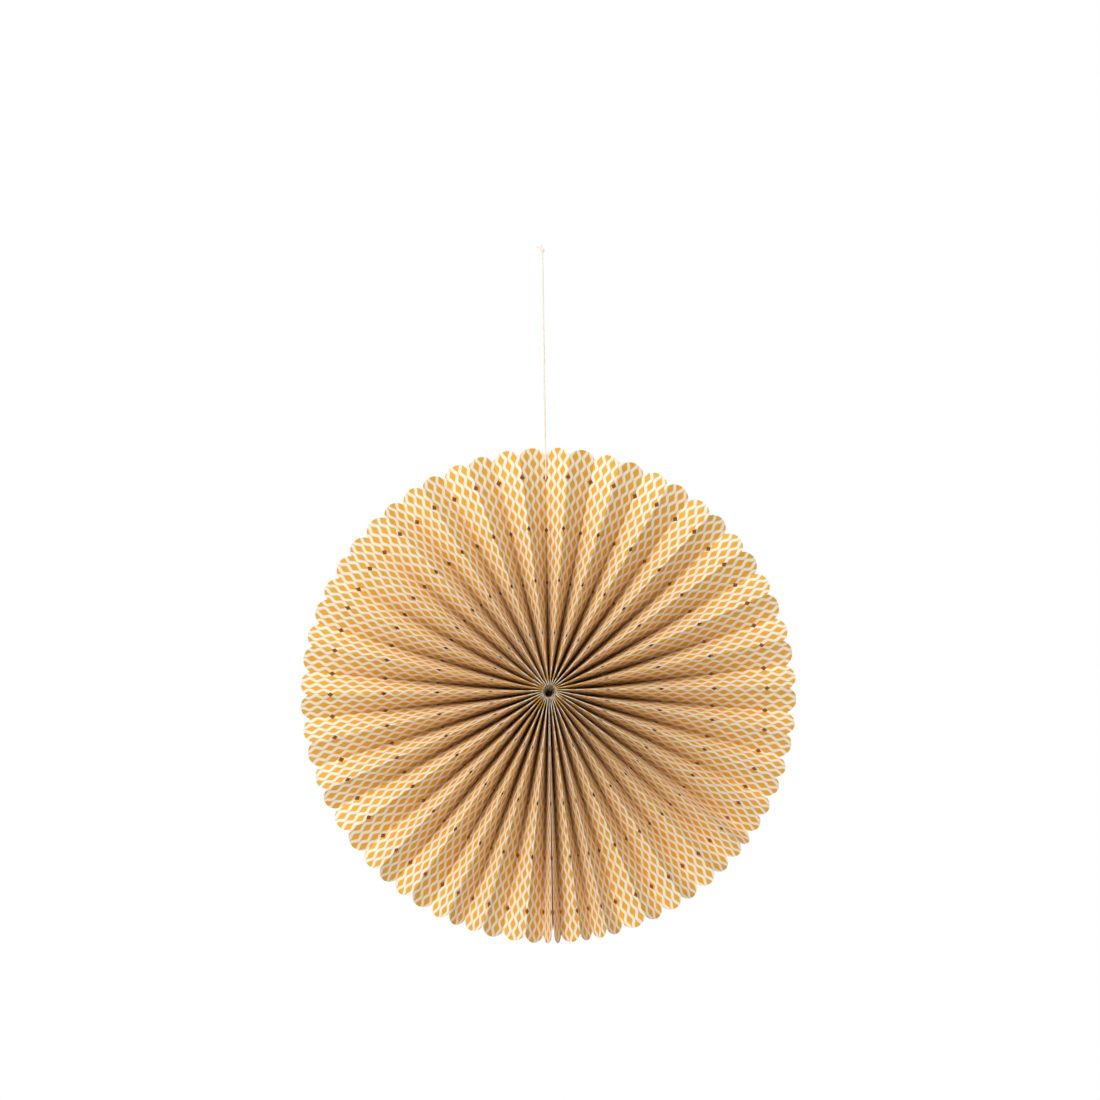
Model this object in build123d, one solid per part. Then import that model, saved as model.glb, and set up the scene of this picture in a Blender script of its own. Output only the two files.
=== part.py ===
from build123d import *
import math
import os

# Paper fan rosette: three pleated paper strips glued end to end, fanned round to a full circle.
# Millimetres. The rosette stands in the XZ plane with its printed front towards -Y, and hangs from
# its thread. The origin is the top of the thread loop, where a pin or hook goes through.

# Pleated paper
paper_thickness = 0.16
panel_width = 22.4          # from one fold to the next, on the flat strip
panels_round = 68
fold_flat = 0.2             # width of the blunt nose of a pressed fold
notch_radius = 191.5        # where the folds reach the scalloped edge
scallop_rise = 6.3          # how far a scallop stands out past its two notches
snip_depth = 2.55           # the 90 degree snips that open into diamonds
snip_radii = [46.7 + 42.3 * ring for ring in range(4)]
glue_film = 0.04            # left between two glued panels

# How far the pleats are opened, in degrees a panel before scaling to the whole circle: it changes
# evenly between the marked panels, and a few panels stayed stiffer or gave more than their neighbours
seam_angle = 180.0          # clockwise from the top, seen from the front
seam_gap_angle = 0.44
opening_marks = {1: 5.0, 10: 5.1, 13: 5.7, 22: 5.85, 31: 6.3, 39: 6.25, 46: 5.9, 54: 5.1, 68: 4.7}
stiff_panels = {1: -3.1, 2: -0.6, 5: -0.6, 6: -1.1, 7: -0.4, 10: -0.5, 12: 0.3, 13: 0.4, 14: -0.6,
                18: -0.4, 27: -0.4, 28: -0.5, 29: -0.3, 34: -0.4, 41: -0.4, 53: -0.4, 55: -0.6,
                56: -1.4, 57: -1.0, 63: 0.7, 64: -0.7, 65: -1.5, 66: -1.7, 67: -0.4, 68: -2.8}

# Hub, where the pleats are packed together
hub_front_radius = 5.2      # inner end of the folds that point forwards
hub_back_radius = 2.4       # inner end of the folds that point backwards
hub_disc_radius = 15.0
hub_disc_thickness = 0.5

# Glue joints: the first panel that each strip shares with the one before it
strip_ends = {"paper_strip_a": (0, 28), "paper_strip_b": (27, 56), "paper_strip_c": (55, 68)}
joint_folds = (28, 56)
seam_layers = 0.27          # room that each cut end takes at the hub, in layers of paper
seam_glue_from, seam_glue_to = 16.0, 43.0
seam_glue_bands = 6
seam_glue_film = 0.11        # left beside the bead, for the twist of the panels
seam_glue_span = (0.08, 0.3)   # how much of the panels' width the bead covers, from their cut ends

# Hanging thread
thread_diameter = 0.9
hang_height = 357.0         # from the hub's centre up to the top of the loop
top_fold = 33               # the backward fold that stands at the very top
knot_radius = 1.7
knot_stretch = 1.25         # height over width
knot_rise = 1.55            # the knot's lowest quarter point above the loop's bend
tail_length = 6.5
tail_leans = (-52, -14)     # degrees from upright, seen from the front


def opening(panel):
    """How far one panel opens at the rim, before scaling."""
    marks = sorted(opening_marks)
    low = max(mark for mark in marks if mark <= min(panel, marks[-2]))
    high = marks[marks.index(low) + 1]
    share = (panel - low) / (high - low)
    even = opening_marks[low] + (opening_marks[high] - opening_marks[low]) * share
    return even + stiff_panels.get(panel, 0)


def rim_angles():
    """Angle of each fold at the rim, clockwise from the top, with the thread's fold at the top."""
    openings = [opening(panel) for panel in range(1, panels_round + 1)]
    before_top = 360 - seam_angle - seam_gap_angle / 2
    after_top = seam_angle - seam_gap_angle / 2
    scale_before = before_top / sum(openings[:top_fold])
    scale_after = after_top / sum(openings[top_fold:])
    angles = [-before_top]
    for number, wide in enumerate(openings):
        angles.append(angles[-1] + wide * (scale_before if number < top_fold else scale_after))
    return [math.radians(angle) for angle in angles]


def hub_angles():
    """Angle of each fold at the hub, where every layer of paper takes the same room."""
    layers = [seam_layers]
    for panel in range(1, panels_round + 1):
        layers.append(layers[-1] + (2 if panel - 1 in joint_folds else 1))
    step = 2 * math.pi / (layers[-1] + seam_layers)
    return [step * (layer - layers[top_fold]) for layer in layers]


RIM, HUB = rim_angles(), hub_angles()


def is_front(fold):
    return fold % 2 == 0


def plan(fold, radius):
    """Where a straight fold line passes at a distance from the hub, seen from the front."""
    inner = hub_front_radius if is_front(fold) else hub_back_radius
    share = (radius - inner) / (notch_radius - inner)
    start = Vector(math.sin(HUB[fold]), 0, math.cos(HUB[fold])) * inner
    end = Vector(math.sin(RIM[fold]), 0, math.cos(RIM[fold])) * notch_radius
    return start + (end - start) * share


def inner_radius(fold, radius):
    """The rows start on the slanting inner edge, and are level from the next row outwards."""
    if radius > 0:
        return radius
    return hub_front_radius if is_front(fold) else hub_back_radius


def panel_depth(panel, radius):
    """How deep a panel of full width stands, once its two folds are this far apart."""
    near = plan(panel - 1, inner_radius(panel - 1, radius))
    far = plan(panel, inner_radius(panel, radius))
    apart = min((far - near).length, 0.99 * panel_width)
    return math.sqrt(panel_width**2 - apart**2)


def fold_point(fold, radius):
    """A point on a fold: forward folds in front of the middle plane, backward folds behind it."""
    beside = [panel for panel in (fold, fold + 1) if 1 <= panel <= panels_round]
    depth = sum(panel_depth(panel, radius) for panel in beside) / len(beside) / 2
    place = plan(fold, inner_radius(fold, radius))
    return Vector(place.X, -depth if is_front(fold) else depth, place.Z)


def tangent(fold, radius):
    place = plan(fold, inner_radius(fold, radius)).normalized()
    return Vector(place.Z, 0, -place.X)


def panel_corner(panel, side, radius):
    """Where a panel meets its fold's blunt nose. side is 0 for the fold before it, 1 for the fold after it."""
    fold = panel - 1 + side
    return fold_point(fold, radius) + tangent(fold, radius) * (fold_flat / 2 - fold_flat * side)


def panel_normal(panel, across, radius):
    """Unit normal of a panel's twisted surface, pointing to the front."""
    step = 0.5
    lower = max(radius, hub_front_radius + step)
    ends = [[panel_corner(panel, side, lower + shift) for side in (0, 1)] for shift in (-step, step)]
    width = (ends[0][1] - ends[0][0]) + (ends[1][1] - ends[1][0])
    rows = [row[0] + (row[1] - row[0]) * across for row in ends]
    normal = (rows[1] - rows[0]).cross(width).normalized()
    return normal if normal.Y < 0 else normal * -1


def radial_rows():
    """Distances from the hub at which the paper's facets change, 0 standing for the inner edge."""
    rows = [0, 8, 13, 21, 31]
    for radius in snip_radii:
        rows += [radius - snip_depth, radius, radius + snip_depth, radius + 21]
    return rows[:-1] + [notch_radius]


class Sheet:
    """A bent sheet as points on its middle surface, each with the half-thickness step to its front."""

    def __init__(self):
        self.points, self.steps, self.triangles = [], [], []

    def add(self, point, normal, second=None):
        step = normal
        if second is not None:
            step = (normal + second) * (1 / (1 + normal.dot(second)))
        self.points.append(point)
        self.steps.append(step * (paper_thickness / 2))
        return len(self.points) - 1

    def quad(self, a, b, c, d):
        self.triangles += [(a, b, c), (a, c, d)]

    def solid(self):
        front = [p + s for p, s in zip(self.points, self.steps)]
        back = [p - s for p, s in zip(self.points, self.steps)]
        uses = {}
        for a, b, c in self.triangles:
            for edge in ((a, b), (b, c), (c, a)):
                uses[edge] = uses.get(edge, 0) + 1
        corners = [(front[a], front[b], front[c]) for a, b, c in self.triangles]
        corners += [(back[a], back[c], back[b]) for a, b, c in self.triangles]
        for a, b in uses:
            if (b, a) not in uses:
                corners += [(front[b], front[a], back[a]), (front[b], back[a], back[b])]
        corners.sort(key=lambda corner: sum(-point.Y for point in corner))
        return solid_of(corners)


def facet(a, b, c):
    """A triangle whose outside is the side from which a, b, c run anticlockwise."""
    face = Face(Wire.make_polygon((a, b, c)))
    outward = (b - a).cross(c - a)
    return face if face.normal_at().dot(outward) > 0 else -face


def solid_of(corners):
    return Solid(Shell([facet(*corner) for corner in corners]))


def place_in(panel, across, radius):
    """A point inside a panel, across it by so many millimetres from the fold before it."""
    near, far = panel_corner(panel, 0, radius), panel_corner(panel, 1, radius)
    return near + (far - near) * ((across - fold_flat / 2) / (panel_width - fold_flat))


def scallop(sheet, panel, left, right, shift):
    """The rounded outer end of a panel, beyond the row through its two notches."""
    half = panel_width / 2 - fold_flat / 2
    arc_radius = (half**2 + scallop_rise**2) / (2 * scallop_rise)
    turn = math.asin(half / arc_radius)
    for share in (0.62, 0.28, 0):
        out = arc_radius * math.cos(turn * share) - (arc_radius - scallop_rise)
        ends = []
        for sign in ((-1, 1) if share else (1,)):
            across = panel_width / 2 + sign * arc_radius * math.sin(turn * share)
            normal = panel_normal(panel, across / panel_width, notch_radius)
            point = place_in(panel, across, notch_radius + out) - normal * shift
            ends.append(sheet.add(point, normal))
        if share:
            sheet.quad(left, right, ends[1], ends[0])
            left, right = ends
        else:
            sheet.triangles.append((left, right, ends[0]))


def paper_strip(first_fold, last_fold):
    """One folded strip from its first cut end to its last, a panel between each two folds."""
    sheet = Sheet()
    nose = {}
    forward = Vector(0, -1, 0)
    for panel in range(first_fold + 1, last_fold + 1):
        under = panel == first_fold + 1 and first_fold > 0
        shift = paper_thickness + glue_film if under else 0
        before = None
        for radius in radial_rows():
            ends = []
            for side in (0, 1):
                fold = panel - 1 + side
                normal = panel_normal(panel, side, radius)
                in_snip = radius in snip_radii
                folded = first_fold < fold < last_fold and not in_snip
                across = snip_depth + (panel_width - 2 * snip_depth) * side
                point = place_in(panel, across, radius) if in_snip else panel_corner(panel, side, radius)
                if fold - first_fold == 1 and first_fold > 0 and not in_snip:
                    other = panel_normal(first_fold + 1, 1, radius)
                    point = point - other * (paper_thickness + glue_film)
                else:
                    point = point - normal * shift
                corner = sheet.add(point, normal, forward if folded else None)
                if folded:
                    nose[(fold, radius, side)] = corner
                ends.append(corner)
            if before:
                sheet.quad(before[0], before[1], ends[1], ends[0])
            before = ends
        scallop(sheet, panel, before[0], before[1], shift)
    rows = radial_rows()
    for fold in range(first_fold + 1, last_fold):
        for low, high in zip(rows, rows[1:]):
            if low in snip_radii or high in snip_radii:
                continue
            sheet.quad(nose[(fold, low, 1)], nose[(fold, low, 0)], nose[(fold, high, 0)], nose[(fold, high, 1)])
    return sheet.solid()


def hub_disc():
    """The card disc glued across the backward folds, which keeps the pleats closed up at the hub."""
    back = panel_width / 2 + paper_thickness / 2 + glue_film
    disc = Cylinder(hub_disc_radius, hub_disc_thickness, rotation=(90, 0, 0))
    return Pos(0, back + hub_disc_thickness / 2, 0) * disc


def seam_glue():
    """The bead of glue that holds the two cut ends together near the hub, tapering with the gap."""
    rings = []
    for band in range(seam_glue_bands + 1):
        radius = seam_glue_from + (seam_glue_to - seam_glue_from) * band / seam_glue_bands
        ring = []
        for along in seam_glue_span:
            for panel, across in ((1, along), (panels_round, 1 - along)):
                inward = panel_normal(panel, across, radius) * (paper_thickness / 2 + seam_glue_film)
                ring.append(place_in(panel, across * panel_width, radius) - inward)
        rings.append([ring[0], ring[1], ring[3], ring[2]])
    first, last = rings[0], rings[-1]
    corners = [(first[0], first[2], first[1]), (first[0], first[3], first[2])]
    corners += [(last[0], last[1], last[2]), (last[0], last[2], last[3])]
    for low, high in zip(rings, rings[1:]):
        for here in range(4):
            there = (here + 1) % 4
            corners += [(low[here], low[there], high[there]), (low[here], high[there], high[here])]
    return solid_of(corners)


# The thread's route in the YZ plane through the hub, from the top snip up the front, round inside
# the knot and down the back to the same snip: (Y, height above the hub).
thread_route = [
    (5.3, 172.3),
    (3.3, 173.5),
    (1.5, 185.6),
    (0.1, 196.0),
    (-1.0, 357.6),
    (1.0, 357.6),
    (5.4, 196.0),
    (6.9, 185.1),
    (7.2, 173.9),
    (5.5, 172.3),
]


def hanging_thread():
    points = [Vector(0, y, z) for y, z in thread_route]
    radii = []
    for before, here, after in zip(points, points[1:], points[2:]):
        first, second = here - before, after - here
        turn = math.radians(first.get_angle(second))
        radii.append(0.45 * min(first.length, second.length) / math.tan(turn / 2))
    print("thread arc radii", [round(radius, 1) for radius in radii])
    path = FilletPolyline(*points, radius=radii)
    ends = Plane(origin=path @ 0, z_dir=path % 0)
    tube = sweep(ends * Circle(thread_diameter / 2), path=path)
    section = math.pi * thread_diameter**2 / 4
    print("thread length", round(path.length, 1), "volume over section times length",
          round(tube.volume / section / path.length, 4))
    return tube


def thread_knot():
    """The overhand knot that ties the loop, with the two short tails left above it."""
    ball = Pos(0, 0, knot_radius) * scale(Sphere(knot_radius), by=(1, 1, knot_stretch))
    foot = (Align.CENTER, Align.CENTER, Align.MIN)
    tails = [Cylinder(thread_diameter / 2, tail_length, align=foot, rotation=(0, lean, 0)) for lean in tail_leans]
    knot = ball + [Pos(0, 0, knot_radius) * tail for tail in tails]
    return Pos(0, 0, hang_height + knot_rise) * knot


def main():
    os.makedirs("parts", exist_ok=True)
    nodes = {name: paper_strip(*ends) for name, ends in strip_ends.items()}
    nodes["hub_disc"] = hub_disc()
    nodes["seam_glue"] = seam_glue()
    nodes["hanging_thread"] = hanging_thread()
    nodes["thread_knot"] = thread_knot()
    for name, node in nodes.items():
        node = Pos(0, 0, -hang_height) * node
        node.label = name
        export_step(node, f"parts/{name}.step")


main()
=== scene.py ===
import math
import bpy
import numpy as np
from mathutils import Matrix, Vector


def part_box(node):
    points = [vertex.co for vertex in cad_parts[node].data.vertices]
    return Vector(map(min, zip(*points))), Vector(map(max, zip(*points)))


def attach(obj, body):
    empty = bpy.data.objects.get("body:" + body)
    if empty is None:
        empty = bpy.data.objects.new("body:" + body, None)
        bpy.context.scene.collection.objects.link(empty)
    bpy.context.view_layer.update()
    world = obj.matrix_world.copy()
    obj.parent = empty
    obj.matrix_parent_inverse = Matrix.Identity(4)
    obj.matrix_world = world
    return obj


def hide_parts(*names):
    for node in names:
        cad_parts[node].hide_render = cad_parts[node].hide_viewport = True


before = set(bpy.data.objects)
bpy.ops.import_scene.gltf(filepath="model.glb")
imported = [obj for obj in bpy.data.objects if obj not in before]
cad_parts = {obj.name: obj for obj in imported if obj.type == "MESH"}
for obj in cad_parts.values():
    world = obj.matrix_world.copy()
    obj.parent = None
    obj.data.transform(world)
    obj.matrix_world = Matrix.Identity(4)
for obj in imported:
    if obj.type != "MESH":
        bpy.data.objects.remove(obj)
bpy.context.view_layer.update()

mm = 0.001
discLow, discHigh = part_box("hub_disc")
# the middle of the pleats
hub = Vector(((discLow.x + discHigh.x) / 2, 0, (discLow.z + discHigh.z) / 2))
print("frame loaded, hub at", [round(x, 4) for x in hub])


# ---------- paper, sizes in millimetres ----------

fan = {
    "panels": 68,
    "panelWidth": 22.4,      # fold to fold
    "thickness": 0.16,
    "noseWidth": 0.2,        # blunt nose of a pressed fold
    "notchRadius": 191.5,    # hub to the notches between scallops
    "scallopRise": 6.3,
    "snipDepth": 2.55,
    "firstSnip": 46.7,
    "snipSpacing": 42.3,
    "snipRings": 4,
    "frontInner": 5.2,       # where the forward folds start
    "backInner": 2.4,        # where the backward folds start
    "topFold": 33,           # the fold that the thread hangs from
    "seamAngle": 180.0,
    "seamGap": 0.44,
    "seamLayers": 0.27,      # room of each cut end at the hub, in layers of paper
    # degrees a panel opens, from a fit of every panel to the real fan: it changes evenly between the
    # marks, and the second list holds what is left over for 25 single panels
    "openMarks": {1: 5.0, 10: 5.1, 13: 5.7, 22: 5.85, 31: 6.3, 39: 6.25, 46: 5.9, 54: 5.1, 68: 4.7},
    "stiffPanels": {1: -3.1, 2: -0.6, 5: -0.6, 6: -1.1, 7: -0.4, 10: -0.5, 12: 0.3, 13: 0.4, 14: -0.6,
                    18: -0.4, 27: -0.4, 28: -0.5, 29: -0.3, 34: -0.4, 41: -0.4, 53: -0.4, 55: -0.6,
                    56: -1.4, 57: -1.0, 63: 0.7, 64: -0.7, 65: -1.5, 66: -1.7, 67: -0.4, 68: -2.8},
    "doubledAfter": (28, 56),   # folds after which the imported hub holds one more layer
    "glueFilm": 0.04,
    "columns": 8,            # facets across a panel
    "rowStep": 2.2,          # facets along a panel
    "hubRows": [0, 5.6, 6.4, 7.5, 9, 11],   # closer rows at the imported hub
    "evenRowsFrom": 13,
    "snipRows": (-0.66, -0.33, 0, 0.33, 0.66),   # rows inside a snip, in snip depths
    "arcRows": (0.9, 0.78, 0.65, 0.52, 0.4, 0.28, 0.17, 0.07),   # rows of a scallop, in half arcs
    "bowFrom": 30,           # radius where panels start to bow
    "bowRange": 150,
    "bowLeast": -0.45,
    "bowMost": 0.25,
    "sharpAngle": 24,        # degrees
}

strips = {
    "paper_strip_a": (0, 28),
    "paper_strip_b": (27, 56),
    "paper_strip_c": (55, 68),
}


def rimAngles():
    panels = np.arange(1, fan["panels"] + 1)
    wide = np.interp(panels, list(fan["openMarks"]), list(fan["openMarks"].values()))
    wide += [fan["stiffPanels"].get(panel, 0) for panel in panels]
    top = fan["topFold"]
    before = 360 - fan["seamAngle"] - fan["seamGap"] / 2
    after = fan["seamAngle"] - fan["seamGap"] / 2
    angles = [-before]
    for number, opened in enumerate(wide):
        scale = before / sum(wide[:top]) if number < top else after / sum(wide[top:])
        angles.append(angles[-1] + opened * scale)
    return np.radians(angles)


def hubAngles():
    layers = [fan["seamLayers"]]
    for panel in range(1, fan["panels"] + 1):
        layers.append(layers[-1] + (2 if panel - 1 in fan["doubledAfter"] else 1))
    step = 2 * math.pi / (layers[-1] + fan["seamLayers"])
    return step * (np.array(layers) - layers[fan["topFold"]])


rim, packed = rimAngles(), hubAngles()


def innerRadius(fold):
    return fan["frontInner"] if fold % 2 == 0 else fan["backInner"]


def foldPlan(fold, radius):
    # fold line seen from the front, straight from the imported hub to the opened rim
    inner = innerRadius(fold)
    share = ((radius - inner) / (fan["notchRadius"] - inner))[:, None]
    start = np.array([math.sin(packed[fold]), math.cos(packed[fold])]) * inner
    end = np.array([math.sin(rim[fold]), math.cos(rim[fold])]) * fan["notchRadius"]
    return start + (end - start) * share


def atLeastInner(fold, radius):
    return np.maximum(radius, innerRadius(fold))


def panelDepth(panel, radius):
    near = foldPlan(panel - 1, atLeastInner(panel - 1, radius))
    far = foldPlan(panel, atLeastInner(panel, radius))
    apart = np.minimum(np.linalg.norm(far - near, axis=1), 0.99 * fan["panelWidth"])
    return np.sqrt(fan["panelWidth"] ** 2 - apart ** 2)


def foldLine(fold, radius):
    beside = [panel for panel in (fold, fold + 1) if 1 <= panel <= fan["panels"]]
    depth = sum(panelDepth(panel, radius) for panel in beside) / len(beside) / 2
    place = foldPlan(fold, atLeastInner(fold, radius))
    return np.stack([place[:, 0], -depth if fold % 2 == 0 else depth, place[:, 1]], axis=1)


def foldSide(fold, radius):
    place = foldPlan(fold, atLeastInner(fold, radius))
    place = place / np.linalg.norm(place, axis=1)[:, None]
    return np.stack([place[:, 1], np.zeros(len(place)), -place[:, 0]], axis=1)


def unit(v):
    return v / np.maximum(np.linalg.norm(v, axis=-1, keepdims=True), 1e-12)


snipRadii = [fan["firstSnip"] + fan["snipSpacing"] * ring for ring in range(fan["snipRings"])]


def panelRows():
    # rows along a panel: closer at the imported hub, and on every corner of a snip
    rows = list(fan["hubRows"])
    edges = [fan["evenRowsFrom"]]
    for radius in snipRadii:
        edges += [radius - fan["snipDepth"], radius + fan["snipDepth"]]
    edges.append(fan["notchRadius"])
    for number in range(0, len(edges), 2):
        low, high = edges[number], edges[number + 1]
        count = max(1, round((high - low) / fan["rowStep"]))
        rows += [low + (high - low) * k / count for k in range(count + 1)]
        if number + 2 < len(edges):
            middle = snipRadii[number // 2]
            rows += [middle + fan["snipDepth"] * share for share in fan["snipRows"]]
    return np.array(rows)


rows = panelRows()


def snipAt(radius):
    # how far the snips eat into a panel from its fold, at each row
    deep = np.zeros(len(radius))
    for middle in snipRadii:
        deep = np.maximum(deep, fan["snipDepth"] - np.abs(radius - middle))
    return np.maximum(deep, fan["noseWidth"] / 2)


class Skin:
    # a sheet's middle surface, with a half-thickness step and a flat-sheet place at every point

    def __init__(self):
        self.points, self.steps, self.flats, self.faces = [], [], [], []
        self.count = 0

    def addRow(self, points, steps, flats):
        self.points.append(points)
        self.steps.append(steps)
        self.flats.append(flats)
        first = self.count
        self.count += len(points)
        return list(range(first, self.count))

    def quads(self, low, high):
        for k in range(len(low) - 1):
            self.faces.append((low[k], low[k + 1], high[k + 1], high[k]))


def panelPoints(panel, radius, across):
    # places in a panel's twisted surface. across is in millimetres from the fold before it
    flat = fan["noseWidth"]
    near = foldLine(panel - 1, radius) + foldSide(panel - 1, radius) * flat / 2
    far = foldLine(panel, radius) - foldSide(panel, radius) * flat / 2
    share = (across - flat / 2) / (fan["panelWidth"] - flat)
    return near[:, None, :] + (far - near)[:, None, :] * share[:, :, None]


def panelNormals(panel, radius, across):
    step = 0.4
    base = np.maximum(radius, fan["frontInner"] + step)
    low, high = panelPoints(panel, base - step, across), panelPoints(panel, base + step, across)
    width = (low[:, -1] - low[:, 0] + high[:, -1] - high[:, 0])[:, None, :]
    normal = unit(np.cross(high - low, width))
    return np.where(normal[..., 1:2] < 0, normal, -normal)


def bowOf(radius, across, height):
    # pressed panels are a little hollow or full between their folds, more so towards the rim
    lift = np.sin(np.pi * across / fan["panelWidth"])
    out = np.clip((radius - fan["bowFrom"]) / fan["bowRange"], 0, 1)[:, None]
    return lift * out * height


def addPanel(skin, panel, firstFold, lastFold, shift, bow):
    columns, half = fan["columns"], fan["panelWidth"] / 2
    deep = snipAt(rows)
    spread = np.linspace(0, 1, columns + 1)[None, :]
    across = deep[:, None] + (fan["panelWidth"] - 2 * deep)[:, None] * spread
    normals = panelNormals(panel, rows, across)
    points = panelPoints(panel, rows, across) + normals * bowOf(rows, across, bow)[..., None]
    if shift == "under":
        points = points - normals * (fan["thickness"] + fan["glueFilm"])
    if shift == "from joint":
        over = panelNormals(panel - 1, rows, np.full((len(rows), 2), fan["panelWidth"]))[:, 1]
        fade = (1 - spread)[..., None]
        points = points - over[:, None, :] * (fan["thickness"] + fan["glueFilm"]) * fade
    steps = normals.copy()
    forward = np.array([0, -1, 0])
    plain = deep <= fan["noseWidth"] / 2
    for side, fold in ((0, panel - 1), (-1, panel)):
        if firstFold < fold < lastFold:
            both = normals[:, side] + forward
            mitre = both / (1 + normals[:, side] @ forward)[:, None]
            steps[plain, side] = mitre[plain]
    grid = []
    for number, radius in enumerate(rows):
        along = (panel - 1) * fan["panelWidth"] + across[number]
        flats = np.stack([along, np.full(columns + 1, radius)], 1)
        grid.append(skin.addRow(points[number], steps[number], flats))
    for low, high in zip(grid, grid[1:]):
        skin.quads(low, high)
    # scallop: rows of the arc, from the notches out to its tip
    inside = half - fan["noseWidth"] / 2
    arcRadius = (inside ** 2 + fan["scallopRise"] ** 2) / (2 * fan["scallopRise"])
    turn = math.asin(inside / arcRadius)
    last = grid[-1]
    for share in fan["arcRows"]:
        out = arcRadius * math.cos(turn * share) - (arcRadius - fan["scallopRise"])
        reach = arcRadius * math.sin(turn * share)
        radius = np.array([fan["notchRadius"] + out])
        line = half + reach * np.linspace(-1, 1, columns + 1)[None, :]
        normal = panelNormals(panel, np.array([fan["notchRadius"]]), line)
        place = panelPoints(panel, radius, line) + normal * bowOf(radius, line, bow)[..., None]
        if shift == "under":
            place = place - normal * (fan["thickness"] + fan["glueFilm"])
        flats = np.stack([(panel - 1) * fan["panelWidth"] + line[0], np.full(columns + 1, radius[0])], 1)
        row = skin.addRow(place[0], normal[0], flats)
        skin.quads(last, row)
        last = row
    return grid


def sheetMesh(name, skin, thickness, materials):
    # gives a middle surface its thickness: printed front, plain back, cut edge all round
    points, steps, flats = (np.concatenate(part) for part in (skin.points, skin.steps, skin.flats))
    front, back = points + steps * thickness / 2, points - steps * thickness / 2
    size = len(points)
    uses = {(a, face[(k + 1) % len(face)]): True for face in skin.faces for k, a in enumerate(face)}
    rimEdges = [edge for edge in uses if (edge[1], edge[0]) not in uses]
    faces = [tuple(face) for face in skin.faces]
    faces += [tuple(size + a for a in reversed(face)) for face in skin.faces]
    faces += [(b, a, size + a, size + b) for a, b in rimEdges]
    mesh = bpy.data.meshes.new(name)
    places = np.concatenate([front, back]) * mm + np.array(hub)
    mesh.from_pydata(places.tolist(), [], faces)
    mesh.update()
    for material in materials:
        mesh.materials.append(material)
    count = len(skin.faces)
    slots = [0] * count + [1] * count + [2] * len(rimEdges)
    mesh.polygons.foreach_set("material_index", slots)
    mesh.polygons.foreach_set("use_smooth", [True] * len(slots))
    uvs = mesh.uv_layers.new(name="flatSheet")
    corners = np.zeros(len(mesh.loops), dtype=np.int32)
    mesh.loops.foreach_get("vertex_index", corners)
    flat = np.concatenate([flats, flats])[corners]
    uvs.uv.foreach_set("vector", flat.astype(np.float32).ravel())
    mesh.set_sharp_from_angle(angle=math.radians(fan["sharpAngle"]))
    return mesh


def paperStrip(name, firstFold, lastFold, materials, seed):
    random = np.random.default_rng(seed)
    skin = Skin()
    grids = {}
    for panel in range(firstFold + 1, lastFold + 1):
        shift = None
        if firstFold > 0 and panel == firstFold + 1:
            shift = "under"
        if firstFold > 0 and panel == firstFold + 2:
            shift = "from joint"
        bow = random.uniform(fan["bowLeast"], fan["bowMost"])
        grids[panel] = addPanel(skin, panel, firstFold, lastFold, shift, bow)
    deep = snipAt(rows) <= fan["noseWidth"] / 2
    for panel in range(firstFold + 1, lastFold):
        for k in range(len(rows) - 1):
            if deep[k] and deep[k + 1] and not snipBetween(rows[k], rows[k + 1]):
                a, b = grids[panel][k][-1], grids[panel + 1][k][0]
                c, d = grids[panel + 1][k + 1][0], grids[panel][k + 1][-1]
                skin.faces.append((a, b, c, d))
    mesh = sheetMesh(name, skin, fan["thickness"], materials)
    piece = bpy.data.objects.new(name + "_sheet", mesh)
    bpy.context.collection.objects.link(piece)
    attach(piece, "root")
    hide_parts(name)
    return piece


def snipBetween(low, high):
    return any(low < middle < high for middle in snipRadii)


# ---------- node helpers and shared effects ----------

def newGroup(name, inputs, outputs):
    group = bpy.data.node_groups.new(name, "ShaderNodeTree")
    for label, kind, value in inputs:
        socket = group.interface.new_socket(label, in_out="INPUT", socket_type=kind)
        if value is not None:
            socket.default_value = value
    for label, kind in outputs:
        group.interface.new_socket(label, in_out="OUTPUT", socket_type=kind)
    return group, group.nodes.new("NodeGroupInput"), group.nodes.new("NodeGroupOutput")


def mathNode(tree, operation, first, second=None, third=None):
    node = tree.nodes.new("ShaderNodeMath")
    node.operation = operation
    for number, value in enumerate((first, second, third)):
        if value is None:
            continue
        if isinstance(value, (int, float)):
            node.inputs[number].default_value = value
        else:
            tree.links.new(value, node.inputs[number])
    return node.outputs[0]


def mixColor(tree, factor, first, second, blend="MIX"):
    node = tree.nodes.new("ShaderNodeMix")
    node.data_type = "RGBA"
    node.blend_type = blend
    for socket, value in ((node.inputs[0], factor), (node.inputs[6], first), (node.inputs[7], second)):
        if isinstance(value, (tuple, list)):
            socket.default_value = (*value, 1) if len(value) == 3 else value
        elif isinstance(value, (int, float)):
            socket.default_value = value
        else:
            tree.links.new(value, socket)
    return node.outputs[2]


def noise(tree, vector, scale, detail=3, roughness=0.5):
    node = tree.nodes.new("ShaderNodeTexNoise")
    node.inputs["Scale"].default_value = scale
    node.inputs["Detail"].default_value = detail
    node.inputs["Roughness"].default_value = roughness
    tree.links.new(vector, node.inputs["Vector"])
    return node.outputs["Fac"]


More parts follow.
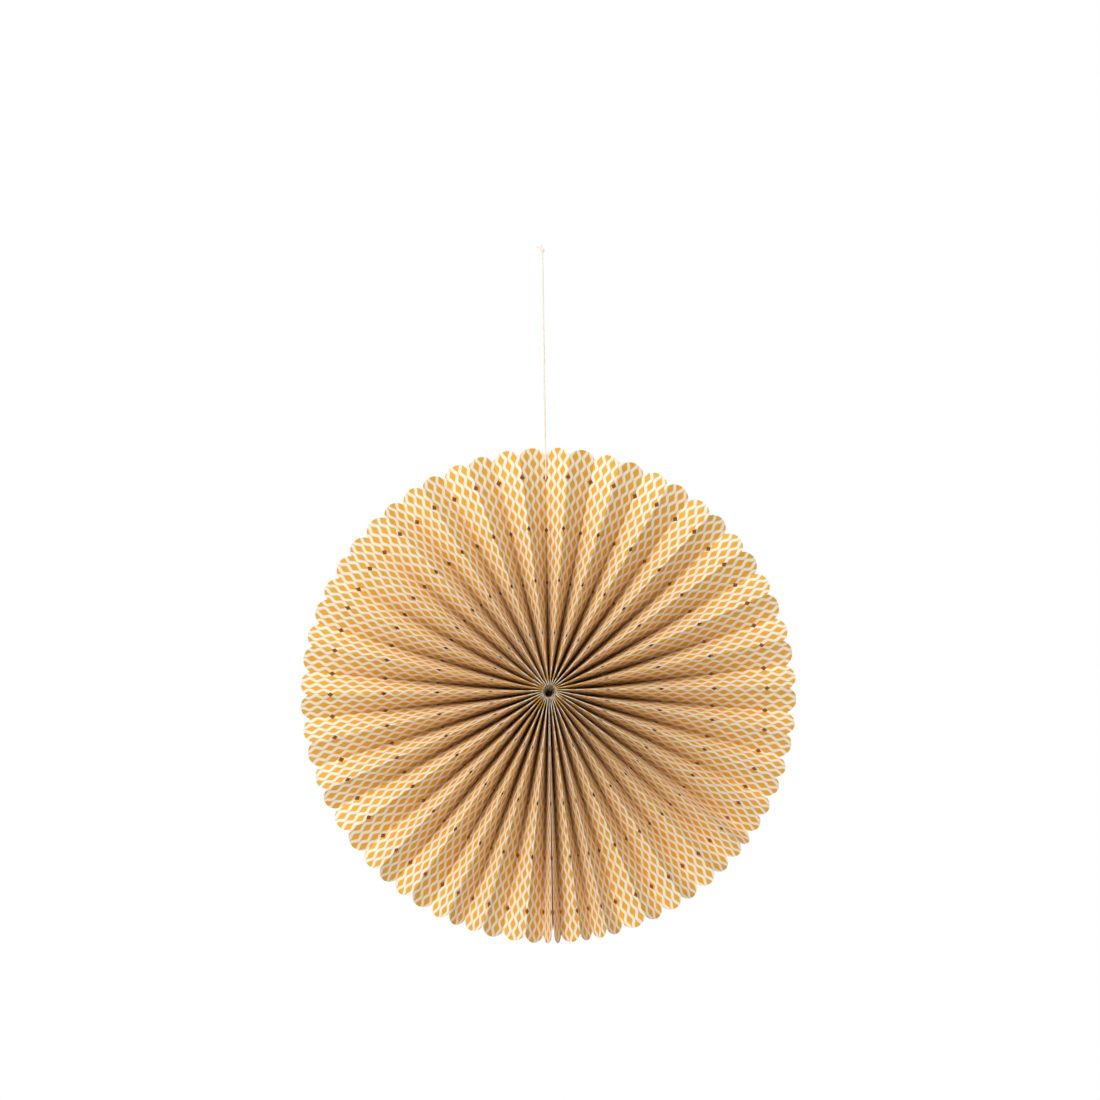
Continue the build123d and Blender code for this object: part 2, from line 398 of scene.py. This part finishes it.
def trellisGroup():
    # wavy lines along the pleats, each mirrored from its neighbour, so that they close into ogees
    group, given, made = newGroup(
        "trellis print",
        [("Sheet", "NodeSocketVector", None), ("Column", "NodeSocketFloat", 5.49),
         ("Period", "NodeSocketFloat", 11.5), ("Swing", "NodeSocketFloat", 1.24),
         ("Line", "NodeSocketFloat", 2.6), ("Soft", "NodeSocketFloat", 0.25),
         ("Column Start", "NodeSocketFloat", 0), ("Row Start", "NodeSocketFloat", 0)],
        [("Line Mask", "NodeSocketFloat")],
    )
    apart = group.nodes.new("ShaderNodeSeparateXYZ")
    group.links.new(given.outputs["Sheet"], apart.inputs[0])
    shifted = mathNode(group, "SUBTRACT", apart.outputs[0], given.outputs["Column Start"])
    column = mathNode(group, "DIVIDE", shifted, given.outputs["Column"])
    rise = mathNode(group, "SUBTRACT", apart.outputs[1], given.outputs["Row Start"])
    pitch = mathNode(group, "DIVIDE", 2 * math.pi, given.outputs["Period"])
    turn = mathNode(group, "MULTIPLY", rise, pitch)
    slopeMost = mathNode(group, "MULTIPLY", given.outputs["Swing"], pitch)
    line = None
    for parity, sign in ((0, 1), (1, -1)):   # even lines swing one way, odd lines the other
        side = mathNode(group, "WRAP", mathNode(group, "ADD", column, parity), 1, -1)
        away = mathNode(group, "MULTIPLY", side, given.outputs["Column"])
        swing = mathNode(group, "MULTIPLY", given.outputs["Swing"], sign)
        here = mathNode(group, "COSINE", turn)
        aside = mathNode(group, "SUBTRACT", away, mathNode(group, "MULTIPLY", here, swing))
        slope = mathNode(group, "MULTIPLY", mathNode(group, "SINE", turn), slopeMost)
        slope = mathNode(group, "MULTIPLY", slope, -sign)
        # one step along to the nearest point of the line, so that it keeps one width all the way
        steep = mathNode(group, "MULTIPLY_ADD", slope, slope, 1.0)
        along = mathNode(group, "DIVIDE", mathNode(group, "MULTIPLY", aside, slope), steep)
        nearest = mathNode(group, "COSINE", mathNode(group, "MULTIPLY_ADD", along, pitch, turn))
        aside = mathNode(group, "SUBTRACT", away, mathNode(group, "MULTIPLY", nearest, swing))
        square = mathNode(group, "MULTIPLY_ADD", aside, aside, mathNode(group, "MULTIPLY", along, along))
        distance = mathNode(group, "SQRT", square)
        line = distance if line is None else mathNode(group, "MINIMUM", line, distance)
    half = mathNode(group, "MULTIPLY", given.outputs["Line"], 0.5)
    ramp = group.nodes.new("ShaderNodeMapRange")
    ramp.interpolation_type = "SMOOTHSTEP"
    group.links.new(line, ramp.inputs["Value"])
    group.links.new(mathNode(group, "SUBTRACT", half, given.outputs["Soft"]), ramp.inputs["From Min"])
    group.links.new(mathNode(group, "ADD", half, given.outputs["Soft"]), ramp.inputs["From Max"])
    ramp.inputs["To Min"].default_value = 1
    ramp.inputs["To Max"].default_value = 0
    group.links.new(ramp.outputs[0], made.inputs["Line Mask"])
    return group


def paperGroup():
    # fibres and cloudy tone of uncoated paper
    group, given, made = newGroup(
        "uncoated paper",
        [("Place", "NodeSocketVector", None), ("Scale", "NodeSocketFloat", 1.0)],
        [("Tone", "NodeSocketFloat"), ("Fibre Height", "NodeSocketFloat")],
    )
    scaled = group.nodes.new("ShaderNodeVectorMath")
    scaled.operation = "SCALE"
    group.links.new(given.outputs["Place"], scaled.inputs[0])
    group.links.new(given.outputs["Scale"], scaled.inputs["Scale"])
    place = scaled.outputs[0]
    cloud = noise(group, place, 60, 3)
    fibre = noise(group, place, 900, 4, 0.6)
    tooth = noise(group, place, 3500, 2)
    tone = mathNode(group, "MULTIPLY_ADD", cloud, 0.6, mathNode(group, "MULTIPLY", fibre, 0.4))
    group.links.new(tone, made.inputs["Tone"])
    height = mathNode(group, "MULTIPLY_ADD", fibre, 0.7, mathNode(group, "MULTIPLY", tooth, 0.3))
    group.links.new(height, made.inputs["Fibre Height"])
    return group


def paintedPleatShadeGroup():
    # how deep a point lies in its pleat, fading out where the pleats open towards the rim; it masks the
    # painted shade in the pleats
    group, given, made = newGroup(
        "painted shade deep in the pleats",
        [("Sheet", "NodeSocketVector", None), ("Panel", "NodeSocketFloat", fan["panelWidth"]),
         ("Closed Radius", "NodeSocketFloat", 25), ("Open Radius", "NodeSocketFloat", 180)],
        [("Painted Warm Shade", "NodeSocketFloat"), ("Depth", "NodeSocketFloat")],
    )
    apart = group.nodes.new("ShaderNodeSeparateXYZ")
    group.links.new(given.outputs["Sheet"], apart.inputs[0])
    panels = mathNode(group, "DIVIDE", apart.outputs[0], given.outputs["Panel"])
    share = mathNode(group, "PINGPONG", panels, 1)
    ramp = group.nodes.new("ShaderNodeMapRange")
    group.links.new(apart.outputs[1], ramp.inputs["Value"])
    group.links.new(given.outputs["Closed Radius"], ramp.inputs["From Min"])
    group.links.new(given.outputs["Open Radius"], ramp.inputs["From Max"])
    ramp.inputs["To Min"].default_value = 1
    ramp.inputs["To Max"].default_value = 0
    depth = mathNode(group, "MULTIPLY", mathNode(group, "POWER", share, 2.6), ramp.outputs[0])
    group.links.new(mathNode(group, "SQRT", depth), made.inputs["Painted Warm Shade"])
    group.links.new(depth, made.inputs["Depth"])
    return group


trellis, uncoated, pleats = trellisGroup(), paperGroup(), paintedPleatShadeGroup()


def material(name, roughness, specular):
    made = bpy.data.materials.new(name)
    made.use_nodes = True
    shader = made.node_tree.nodes["Principled BSDF"]
    shader.inputs["Roughness"].default_value = roughness
    shader.inputs["Specular IOR Level"].default_value = specular
    return made, made.node_tree, shader


def place(tree):
    return tree.nodes.new("ShaderNodeTexCoord").outputs["Object"]


def useGroup(tree, group, **values):
    node = tree.nodes.new("ShaderNodeGroup")
    node.node_tree = group
    for label, value in values.items():
        socket = node.inputs[label]
        if isinstance(value, (int, float)):
            socket.default_value = value
        else:
            tree.links.new(value, socket)
    return node


def paperBump(tree, shader, height, strength, distance):
    bump = tree.nodes.new("ShaderNodeBump")
    bump.inputs["Strength"].default_value = strength
    bump.inputs["Distance"].default_value = distance
    tree.links.new(height, bump.inputs["Height"])
    tree.links.new(bump.outputs["Normal"], shader.inputs["Normal"])


paperLook = {
    "ochre": (0.78, 0.44, 0.058),
    "ochreDeep": (0.68, 0.345, 0.034),
    "cream": (0.87, 0.79, 0.67),
    # painted shade, which stands for light lost down in the pleats: the real paper is one colour
    "paintedWarmShadeTint": (1.0, 0.82, 0.58),
    "paintedDeepShadeTint": (0.11, 0.045, 0.015),
    "plainBack": (0.84, 0.74, 0.60),
    "cutEdge": (0.96, 0.88, 0.76),
    "cutEdgeDull": (0.88, 0.78, 0.64),
    "backStain": (0.6, 0.5, 0.38),
    "showThrough": 0.3,      # how much of the print shows on the back
    "fibreHeight": 0.00003,
    "columnStart": 736.45,   # a cell of the print stands on the top fold
    "rowStart": 167.85,      # and on the outer ring of snips
}


def sheetPlace(tree):
    # where a point lies on the unfolded strip, in millimetres
    node = tree.nodes.new("ShaderNodeUVMap")
    node.uv_map = "flatSheet"
    return node.outputs[0]


def trellisMask(tree, **values):
    starts = {"Column Start": paperLook["columnStart"], "Row Start": paperLook["rowStart"]}
    return useGroup(tree, trellis, Sheet=sheetPlace(tree), **starts, **values).outputs["Line Mask"]


def printedPaper():
    made, tree, shader = material("ochre trellis paper", 0.62, 0.25)
    paper = useGroup(tree, uncoated, Place=place(tree), Scale=1.0)
    mask = trellisMask(tree)
    ochre = mixColor(tree, paper.outputs["Tone"], paperLook["ochreDeep"], paperLook["ochre"])
    color = mixColor(tree, mask, ochre, paperLook["cream"])
    # painted shade: the print is warmed and darkened by its place on the sheet, more so down in the
    # pleats and towards the hub, where light is lost
    pleat = useGroup(tree, pleats, Sheet=sheetPlace(tree))
    paintedWarm = mixColor(tree, 1.0, color, paperLook["paintedWarmShadeTint"], "MULTIPLY")
    color = mixColor(tree, pleat.outputs["Painted Warm Shade"], color, paintedWarm)
    deep = mixColor(tree, 1.0, color, paperLook["paintedDeepShadeTint"], "MULTIPLY")
    color = mixColor(tree, pleat.outputs["Depth"], color, deep)
    tree.links.new(color, shader.inputs["Base Color"])
    paperBump(tree, shader, paper.outputs["Fibre Height"], 0.35, paperLook["fibreHeight"])
    return made


def plainBack():
    made, tree, shader = material("plain paper back", 0.7, 0.2)
    paper = useGroup(tree, uncoated, Place=place(tree), Scale=1.0)
    mask = trellisMask(tree, Soft=0.9)
    shown = mathNode(tree, "MULTIPLY_ADD", mask, -0.22, paperLook["showThrough"])
    base = mixColor(tree, shown, paperLook["plainBack"], paperLook["ochre"])
    stained = mathNode(tree, "MULTIPLY", paper.outputs["Tone"], 0.12)
    color = mixColor(tree, stained, base, paperLook["backStain"])
    tree.links.new(color, shader.inputs["Base Color"])
    paperBump(tree, shader, paper.outputs["Fibre Height"], 0.4, paperLook["fibreHeight"])
    return made


def cutEdge():
    made, tree, shader = material("cut paper edge", 0.8, 0.15)
    paper = useGroup(tree, uncoated, Place=place(tree), Scale=3.0)
    color = mixColor(tree, paper.outputs["Tone"], paperLook["cutEdgeDull"], paperLook["cutEdge"])
    tree.links.new(color, shader.inputs["Base Color"])
    paperBump(tree, shader, paper.outputs["Fibre Height"], 0.5, paperLook["fibreHeight"])
    return made


printed, plain, edge = printedPaper(), plainBack(), cutEdge()
for seed, (name, (firstFold, lastFold)) in enumerate(strips.items()):
    strip = paperStrip(name, firstFold, lastFold, [printed, plain, edge], 40 + seed)
    print("made", strip.name, len(strip.data.polygons), "faces")


# ---------- card disc, glue ----------

cardLook = {"dark": (0.03, 0.018, 0.012), "light": (0.06, 0.036, 0.024), "fibreHeight": 0.00005}
glueLook = {"dull": (0.7, 0.66, 0.58), "clear": (0.85, 0.83, 0.78)}


def plainCard():
    made, tree, shader = material("dark brown card", 0.72, 0.2)
    paper = useGroup(tree, uncoated, Place=place(tree), Scale=0.7)
    color = mixColor(tree, paper.outputs["Tone"], cardLook["dark"], cardLook["light"])
    tree.links.new(color, shader.inputs["Base Color"])
    paperBump(tree, shader, paper.outputs["Fibre Height"], 0.5, cardLook["fibreHeight"])
    return made


def driedGlue():
    made, tree, shader = material("dried white glue", 0.35, 0.5)
    tone = noise(tree, place(tree), 300, 2)
    color = mixColor(tree, tone, glueLook["dull"], glueLook["clear"])
    tree.links.new(color, shader.inputs["Base Color"])
    return made


def dress(node, look):
    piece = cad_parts[node]
    piece.data.materials.clear()
    piece.data.materials.append(look)


dress("hub_disc", plainCard())
dress("seam_glue", driedGlue())
print("card disc and glue dressed")


# ---------- hanging thread ----------

thread = {
    "diameter": 0.9,
    # (Y, height above the hub): up the front of the paper, round inside the knot, down the back
    "route": [(5.3, 172.3), (3.3, 173.5), (1.5, 185.6), (0.1, 196.0), (-1.0, 357.6),
              (1.0, 357.6), (5.4, 196.0), (6.9, 185.1), (7.2, 173.9), (5.5, 172.3)],
    "length": 0.374,
    "dark": (0.9, 0.72, 0.52),
    "light": (1.0, 0.9, 0.76),
    "knotHeight": 360.25,    # its middle, above the hub
    "knotSize": 0.42,
    "knotStretch": 1.2,      # height over width
    "knotDepth": 1.3,
    "knotPoints": 24,
    "tails": [(-52, 16, 6.2), (-14, -12, 6.2)],   # degrees from upright, bend, length
}


def cottonThread():
    made, tree, shader = material("twisted cotton", 0.8, 0.15)
    fuzz = noise(tree, place(tree), 2200, 3)
    color = mixColor(tree, fuzz, thread["dark"], thread["light"])
    tree.links.new(color, shader.inputs["Base Color"])
    paperBump(tree, shader, fuzz, 0.5, 0.0001)
    return made


def threadCurve(name, points, look):
    data = bpy.data.curves.new(name, "CURVE")
    data.dimensions = "3D"
    spline = data.splines.new("NURBS")
    spline.points.add(len(points) - 1)
    for point, (y, height) in zip(spline.points, points):
        point.co = (0, y * mm, hub.z + height * mm, 1)
    spline.order_u = 3
    spline.use_endpoint_u = True
    data.resolution_u = 16
    data.bevel_depth = thread["diameter"] / 2 * mm
    data.bevel_resolution = 4
    data.materials.append(look)
    curve = bpy.data.objects.new(name, data)
    bpy.context.collection.objects.link(curve)
    return curve


def knotCurve(name, look):
    # an overhand knot: a tight trefoil, with the two tails of the thread
    center = Vector((0, 0, hub.z + thread["knotHeight"] * mm))
    data = bpy.data.curves.new(name, "CURVE")
    data.dimensions = "3D"
    data.resolution_u = 6
    data.bevel_depth = thread["diameter"] / 2 * mm
    data.bevel_resolution = 3
    data.materials.append(look)
    wound = data.splines.new("NURBS")
    count = thread["knotPoints"]
    wound.points.add(count - 1)
    for number, point in enumerate(wound.points):
        t = 2 * math.pi * number / count
        place = Vector((math.sin(t) + 2 * math.sin(2 * t), thread["knotDepth"] * math.sin(3 * t),
                        thread["knotStretch"] * (math.cos(t) - 2 * math.cos(2 * t))))
        point.co = (*(center + place * thread["knotSize"] * mm), 1)
    wound.order_u = 3
    wound.use_cyclic_u = True
    for lean, bend, length in thread["tails"]:
        tail = data.splines.new("NURBS")
        tail.points.add(3)
        for number, point in enumerate(tail.points):
            share = number / 3
            angle = math.radians(lean + bend * share * (1 - share))
            reach = length * share
            point.co = (*(center + Vector((math.sin(angle), 0, math.cos(angle))) * reach * mm), 1)
        tail.order_u = 3
        tail.use_endpoint_u = True
    data.use_fill_caps = True
    curve = bpy.data.objects.new(name, data)
    bpy.context.collection.objects.link(curve)
    return curve


cotton = cottonThread()
knot = knotCurve("knot_and_tails", cotton)
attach(knot, "root")
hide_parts("thread_knot")
cord = threadCurve("thread_loop", thread["route"], cotton)
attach(cord, "root")
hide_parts("hanging_thread")
print("thread hung")


# ---------- wall, floor, lights, camera ----------

room = {
    "wallGap": 0.0005,        # behind the card disc
    "shadeRadius": 0.19,      # the wall's painted brown shade reaches this far out from the hub
    "shadeEdge": 0.008,       # and its edge is this soft
    "shadePower": 1.6,        # how fast the painted shade deepens towards the hub
    "floorBelow": 0.62,
    "key": {"place": (-0.85, -1.85, 1.0), "size": 1.3, "power": 50},
    "fill": {"place": (1.4, -1.6, 0.2), "size": 1.6, "power": 3},
    "back": {"place": (0.9, 1.6, 0.9), "size": 1.4, "power": 24},
    "worldLight": 0.11,
    "worldTint": (1.0, 0.68, 0.4),
    "paintedGlowBehindPaper": (0.30, 0.09, 0.032),   # painted shade: brown glow on the wall behind the paper, standing for its shade lit through the paper
}


def whiteToCamera(tree):
    light = tree.nodes.new("ShaderNodeLightPath")
    seen = mathNode(tree, "ADD", light.outputs["Is Camera Ray"], light.outputs["Is Glossy Ray"])
    seen = mathNode(tree, "ADD", seen, light.outputs["Is Transmission Ray"])
    return mathNode(tree, "MINIMUM", seen, 1)


def wallMaterial():
    # white to the eye, with a painted brown shade that glows where the fan would shade it, and clear
    # from behind and to all other light
    made = bpy.data.materials.new("pale wall")
    made.use_nodes = True
    tree = made.node_tree
    tree.nodes.clear()
    out = tree.nodes.new("ShaderNodeOutputMaterial")
    # painted shade: a brown glow, brighter away from the hub, stands for the wall in the fan's shadow
    # lit through the paper
    paintedWarm = tree.nodes.new("ShaderNodeEmission")
    paintedWarm.inputs["Color"].default_value = (*room["paintedGlowBehindPaper"], 1)
    glow = tree.nodes.new("ShaderNodeEmission")
    clear = tree.nodes.new("ShaderNodeBsdfTransparent")
    geometry = tree.nodes.new("ShaderNodeNewGeometry")
    apart = tree.nodes.new("ShaderNodeVectorMath")
    apart.operation = "DISTANCE"
    tree.links.new(geometry.outputs["Position"], apart.inputs[0])
    apart.inputs[1].default_value = (hub.x, discHigh.y + room["wallGap"], hub.z)
    outside = tree.nodes.new("ShaderNodeMapRange")
    outside.interpolation_type = "SMOOTHSTEP"
    tree.links.new(apart.outputs["Value"], outside.inputs["Value"])
    outside.inputs["From Min"].default_value = room["shadeRadius"] - room["shadeEdge"]
    outside.inputs["From Max"].default_value = room["shadeRadius"]
    seen = whiteToCamera(tree)
    white = mathNode(tree, "MULTIPLY", outside.outputs[0], seen)
    share = mathNode(tree, "DIVIDE", apart.outputs["Value"], room["shadeRadius"])
    share = mathNode(tree, "MULTIPLY", mathNode(tree, "POWER", share, room["shadePower"]), seen)
    tree.links.new(share, paintedWarm.inputs["Strength"])
    front = tree.nodes.new("ShaderNodeMixShader")
    tree.links.new(white, front.inputs[0])
    tree.links.new(paintedWarm.outputs[0], front.inputs[1])
    tree.links.new(glow.outputs[0], front.inputs[2])
    side = tree.nodes.new("ShaderNodeMixShader")
    unseen = mathNode(tree, "SUBTRACT", 1, seen)
    hidden = mathNode(tree, "MAXIMUM", geometry.outputs["Backfacing"], unseen)
    tree.links.new(hidden, side.inputs[0])
    tree.links.new(front.outputs[0], side.inputs[1])
    tree.links.new(clear.outputs[0], side.inputs[2])
    tree.links.new(side.outputs[0], out.inputs["Surface"])
    return made


def plane(name, center, across, up, size, look):
    # a square whose front faces across x up
    mesh = bpy.data.meshes.new(name)
    across, up, center = Vector(across) * size / 2, Vector(up) * size / 2, Vector(center)
    corners = [center - across - up, center + across - up, center + across + up, center - across + up]
    mesh.from_pydata([tuple(c) for c in corners], [], [(0, 1, 2, 3)])
    mesh.materials.append(look)
    made = bpy.data.objects.new(name, mesh)
    bpy.context.collection.objects.link(made)
    return made


def floorMaterial():
    made = bpy.data.materials.new("pale floor")
    made.use_nodes = True
    shader = made.node_tree.nodes["Principled BSDF"]
    shader.inputs["Base Color"].default_value = (0.9, 0.89, 0.88, 1)
    shader.inputs["Roughness"].default_value = 0.9
    return made


wallY = discHigh.y + room["wallGap"]
plane("wall", (0, wallY, hub.z), (1, 0, 0), (0, 0, 1), 3.0, wallMaterial())
plane("floor", (0, 0, hub.z - room["floorBelow"]), (1, 0, 0), (0, 1, 0), 4.0, floorMaterial())


def areaLight(name, spec):
    data = bpy.data.lights.new(name, "AREA")
    data.energy = spec["power"]
    data.size = spec["size"]
    light = bpy.data.objects.new(name, data)
    light.location = hub + Vector(spec["place"])
    light.rotation_euler = (hub - light.location).to_track_quat("-Z", "Y").to_euler()
    bpy.context.collection.objects.link(light)


areaLight("key", room["key"])
areaLight("fill", room["fill"])
areaLight("back", room["back"])

world = bpy.data.worlds.new("studio")
bpy.context.scene.world = world
world.use_nodes = True
tree = world.node_tree
tree.nodes.clear()
soft, white = tree.nodes.new("ShaderNodeBackground"), tree.nodes.new("ShaderNodeBackground")
soft.inputs["Strength"].default_value = room["worldLight"]
soft.inputs["Color"].default_value = (*room["worldTint"], 1)
mix, out = tree.nodes.new("ShaderNodeMixShader"), tree.nodes.new("ShaderNodeOutputWorld")
tree.links.new(whiteToCamera(tree), mix.inputs[0])
tree.links.new(soft.outputs[0], mix.inputs[1])
tree.links.new(white.outputs[0], mix.inputs[2])
tree.links.new(mix.outputs[0], out.inputs["Surface"])

view = {
    "distance": 1.956,
    "azimuth": -1.61,      # from the left of square on
    "elevation": -3.95,     # from below
    "lookUp": 3.32,        # the hub lies this far below the middle of the frame
    "lookLeft": -0.07,
    "roll": 0.85,
    "fieldOfView": 25.3,
}


def placeCamera():
    data = bpy.data.cameras.new("camera")
    data.sensor_fit = "HORIZONTAL"
    data.angle = math.radians(view["fieldOfView"])
    data.clip_start = 0.05
    camera = bpy.data.objects.new("camera", data)
    bpy.context.collection.objects.link(camera)
    turn, rise = math.radians(view["azimuth"]), math.radians(view["elevation"])
    away = Vector((math.sin(turn) * math.cos(rise), -math.cos(turn) * math.cos(rise), math.sin(rise)))
    basis = (-away).to_track_quat("-Z", "Y").to_matrix()
    basis = basis @ Matrix.Rotation(math.radians(view["lookUp"]), 3, "X")
    basis = basis @ Matrix.Rotation(math.radians(view["lookLeft"]), 3, "Y")
    basis = basis @ Matrix.Rotation(math.radians(-view["roll"]), 3, "Z")
    camera.matrix_world = Matrix.Translation(hub + away * view["distance"]) @ basis.to_4x4()
    bpy.context.scene.camera = camera


placeCamera()
bpy.context.scene.view_settings.view_transform = "Standard"
print("room, lights and camera set")
